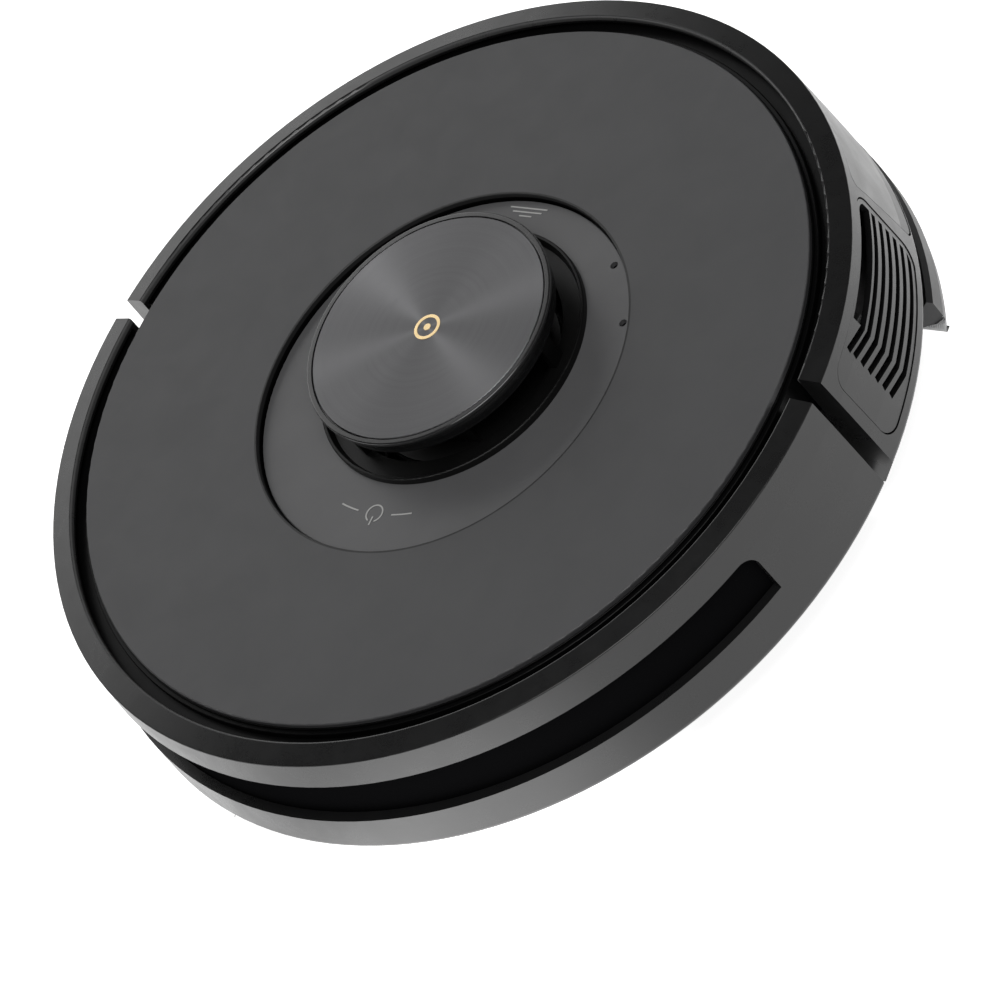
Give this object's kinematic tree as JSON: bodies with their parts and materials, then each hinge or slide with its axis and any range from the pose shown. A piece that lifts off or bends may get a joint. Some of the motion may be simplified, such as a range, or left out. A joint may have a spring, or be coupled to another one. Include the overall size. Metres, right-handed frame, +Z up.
{
  "type": "robot vacuum",
  "caption": "Round robot vacuum with a laser turret, curved front bumper with infrared window, side louvres, rear bin and mop bracket.",
  "frame": {"origin": "on the floor under the centre of the round body", "axes": "+X to the front (bumper), +Y to the robot's left, +Z up"},
  "size_m": [0.3503, 0.35, 0.0945],
  "materials": {
    "lid_satin": "satin, very fine grain",
    "frame_black": "satin black",
    "panel_satin": "satin",
    "print_grey": "printed light grey",
    "gloss_black": "polished, infrared-transparent black",
    "cap_satin": "semi-gloss dark grey",
    "spun_metal": "spun, dark anodised",
    "badge_gold": "polished",
    "shell_satin": "satin",
    "chassis_black": "fine moulded grain",
    "laser_black": "matt",
    "lens_glass": "coated glass",
    "motor_steel": "plated can",
    "belt_rubber": "matt",
    "steel": "plated",
    "contact_gold": "plated",
    "arm_grey": "moulded",
    "hub_grey": "moulded",
    "tyre_rubber": "matt rubber",
    "caster_white": "moulded",
    "caster_black": "moulded",
    "roller_core": "moulded",
    "bristles": "soft blades and nylon bristles",
    "duct_grey": "moulded",
    "bin_smoke": "smoked",
    "filter_paper": "pleated",
    "face_grey": "satin light grey",
    "latch_dark": "satin grey",
    "mop_black": "satin",
    "mop_fabric": "microfibre",
    "board_green": "solder mask",
    "battery_wrap": "shrink sleeve"
  },
  "bodies": {
    "body": {"air_ducts": "duct_grey", "battery_door": "chassis_black", "battery_pack": "battery_wrap", "brush_bearing": "chassis_black", "brush_motor": "motor_steel", "bump_switches": "arm_grey", "cap_badge": "badge_gold", "cap_disc": "spun_metal", "charge_contacts": "contact_gold", "chassis": "chassis_black", "circuit_boards": "board_green", "cliff_sensors": "gloss_black", "fan_housing": "duct_grey", "fan_motor": "motor_steel", "fasteners": "steel", "left_vent": "shell_satin", "lidar_base": "chassis_black", "lidar_belt": "belt_rubber", "lidar_motor": "motor_steel", "panel_marks": "print_grey", "rear_shell": "shell_satin", "right_vent": "shell_satin", "ring_panel": "panel_satin", "side_brush_motor": "motor_steel", "top_plate": "lid_satin", "top_shell": "frame_black", "turret_cap": "cap_satin", "turret_collar": "gloss_black"},
    "bumper": {"bumper_shell": "shell_satin", "bumper_window": "gloss_black"},
    "left_lever": {"left_bump_lever": "arm_grey"},
    "right_lever": {"right_bump_lever": "arm_grey"},
    "laser": {"lidar_turntable": "laser_black", "lidar_head": "laser_black", "lidar_lenses": "lens_glass"},
    "laser_pulley": {"lidar_pulley": "laser_black"},
    "left_suspension": {"left_wheel_arm": "arm_grey", "left_wheel_motor": "motor_steel"},
    "right_suspension": {"right_wheel_arm": "arm_grey", "right_wheel_motor": "motor_steel"},
    "left_wheel": {"left_wheel_hub": "hub_grey", "left_tyre": "tyre_rubber"},
    "right_wheel": {"right_wheel_hub": "hub_grey", "right_tyre": "tyre_rubber"},
    "caster": {"caster_fork": "caster_black", "caster_axle": "steel"},
    "caster_roller": {"caster_wheel": "caster_white"},
    "main_brush": {"brush_roller": "roller_core", "brush_bristles": "bristles"},
    "guard": {"brush_guard": "chassis_black"},
    "side_brush": {"side_brush_hub": "roller_core", "side_brush_bristles": "bristles"},
    "impeller": {"fan_impeller": "duct_grey"},
    "rear_bin": {"bin_body": "bin_smoke", "bin_lid": "bin_smoke", "bin_filter": "filter_paper", "bin_face": "face_grey"},
    "latch": {"bin_latch": "latch_dark"},
    "mop": {"mop_plate": "mop_black", "mop_cloth": "mop_fabric"}
  },
  "joints": [
    {"name": "bumper_press", "type": "slide", "parent": "body", "child": "bumper", "axis": [-1, 0, 0], "range_m": [0, 0.004], "stiffness_N_per_m": 250, "springref_m": -0.012},
    {"name": "left_lever_turn", "type": "hinge", "parent": "body", "child": "left_lever", "pos_m": [0.1346, 0.0685, 0.031], "axis": [0, 0, 1], "range_deg": [0, 20]},
    {"name": "right_lever_turn", "type": "hinge", "parent": "body", "child": "right_lever", "pos_m": [0.1346, -0.0685, 0.031], "axis": [0, 0, 1], "range_deg": [-20, 0]},
    {"name": "laser_spin", "type": "hinge", "parent": "body", "child": "laser", "pos_m": [-0.0082, 0, 0.06], "axis": [0, 0, 1], "continuous": true},
    {"name": "laser_pulley_spin", "type": "hinge", "parent": "body", "child": "laser_pulley", "pos_m": [0.0538, 0, 0.06], "axis": [0, 0, 1], "continuous": true},
    {"name": "left_suspension_drop", "type": "hinge", "parent": "body", "child": "left_suspension", "pos_m": [0.048, 0.092, 0.03], "axis": [0, -1, 0], "range_deg": [0, 24], "stiffness_Nm_per_rad": 0.3, "springref_deg": 51.57},
    {"name": "right_suspension_drop", "type": "hinge", "parent": "body", "child": "right_suspension", "pos_m": [0.048, -0.092, 0.03], "axis": [0, -1, 0], "range_deg": [0, 24], "stiffness_Nm_per_rad": 0.3, "springref_deg": 51.57},
    {"name": "left_wheel_spin", "type": "hinge", "parent": "left_suspension", "child": "left_wheel", "pos_m": [0, 0.113, 0.033], "axis": [0, 1, 0], "continuous": true},
    {"name": "right_wheel_spin", "type": "hinge", "parent": "right_suspension", "child": "right_wheel", "pos_m": [0, -0.113, 0.033], "axis": [0, 1, 0], "continuous": true},
    {"name": "caster_swivel", "type": "hinge", "parent": "body", "child": "caster", "pos_m": [0.13, 0, 0.03], "axis": [0, 0, 1], "continuous": true},
    {"name": "caster_roll", "type": "hinge", "parent": "caster", "child": "caster_roller", "pos_m": [0.1245, 0, 0.0105], "axis": [0, 1, 0], "continuous": true},
    {"name": "main_brush_spin", "type": "hinge", "parent": "body", "child": "main_brush", "pos_m": [0.01, 0, 0.022], "axis": [0, 1, 0], "continuous": true},
    {"name": "guard_release", "type": "slide", "parent": "body", "child": "guard", "axis": [0, 0, -1], "range_m": [0, 0.025]},
    {"name": "side_brush_spin", "type": "hinge", "parent": "body", "child": "side_brush", "pos_m": [0.103, -0.08, 0.006], "axis": [0, 0, 1], "continuous": true},
    {"name": "impeller_spin", "type": "hinge", "parent": "body", "child": "impeller", "pos_m": [-0.05, 0.056, 0.039], "axis": [1, 0, 0], "continuous": true},
    {"name": "bin_slide", "type": "slide", "parent": "body", "child": "rear_bin", "axis": [-1, 0, 0], "range_m": [0, 0.11]},
    {"name": "latch_press", "type": "slide", "parent": "rear_bin", "child": "latch", "axis": [1, 0, 0], "range_m": [0, 0.003], "stiffness_N_per_m": 300, "springref_m": -0.004},
    {"name": "mop_slide", "type": "slide", "parent": "body", "child": "mop", "axis": [-1, 0, 0], "range_m": [0, 0.09]}
  ],
  "couplings": [
    {"joint": "left_lever_turn", "follows": "bumper_press", "rad_per_m": 80},
    {"joint": "right_lever_turn", "follows": "bumper_press", "rad_per_m": -80},
    {"joint": "laser_pulley_spin", "follows": "laser_spin", "ratio": 10.857}
  ]
}
